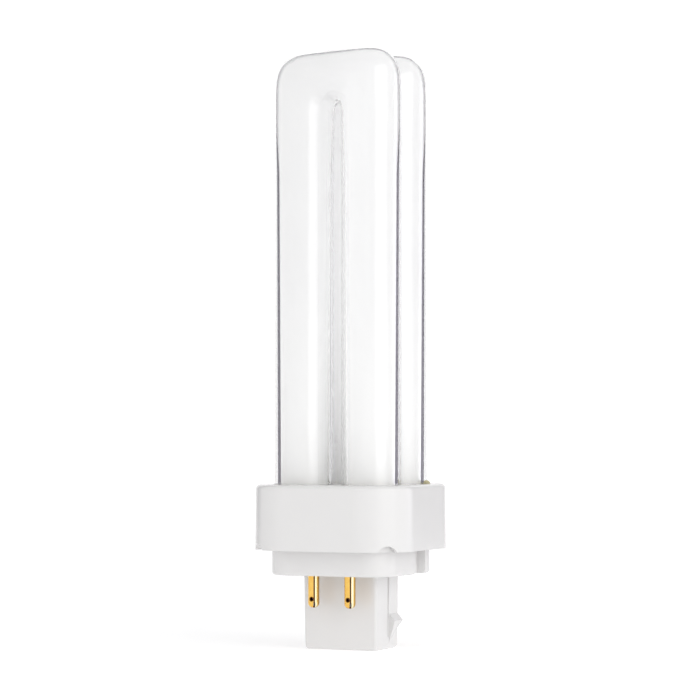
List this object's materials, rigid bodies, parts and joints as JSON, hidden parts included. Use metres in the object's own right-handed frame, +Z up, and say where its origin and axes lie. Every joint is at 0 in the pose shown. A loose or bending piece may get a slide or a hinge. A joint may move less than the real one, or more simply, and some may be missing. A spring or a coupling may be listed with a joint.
{
  "type": "pin base compact fluorescent lamp",
  "caption": "Compact fluorescent lamp with twin parallel U tubes of white coated glass, a square white collar and a plug-in base with a keyed guide post and rolled contact pins.",
  "frame": {"origin": "middle of the flange's underside, the face that seats on the holder, on the lamp axis and at the centre of the four pins", "axes": "+Z up the lamp axis to the bends of the glass, +X along the broad face of the guide post and along each U, towards the flange's key slot, -Y the front"},
  "size_m": [0.0362, 0.0362, 0.1296],
  "materials": {
    "coated_glass": "clear glass over a white powder coat, gloss",
    "white_moulding": "white moulded thermoplastic, satin gloss",
    "pin_brass": "rolled bright",
    "wire_steel": "drawn",
    "cement": "matte"
  },
  "bodies": {
    "root": {"discharge_tube": "coated_glass", "collar": "white_moulding", "base_body": "white_moulding", "contact_pin_1": "pin_brass", "contact_pin_2": "pin_brass", "contact_pin_3": "pin_brass", "contact_pin_4": "pin_brass", "lead_wire_1": "wire_steel", "lead_wire_2": "wire_steel", "lead_wire_3": "wire_steel", "lead_wire_4": "wire_steel", "leg_cement_1": "cement", "leg_cement_2": "cement", "leg_cement_3": "cement", "leg_cement_4": "cement"}
  },
  "joints": []
}
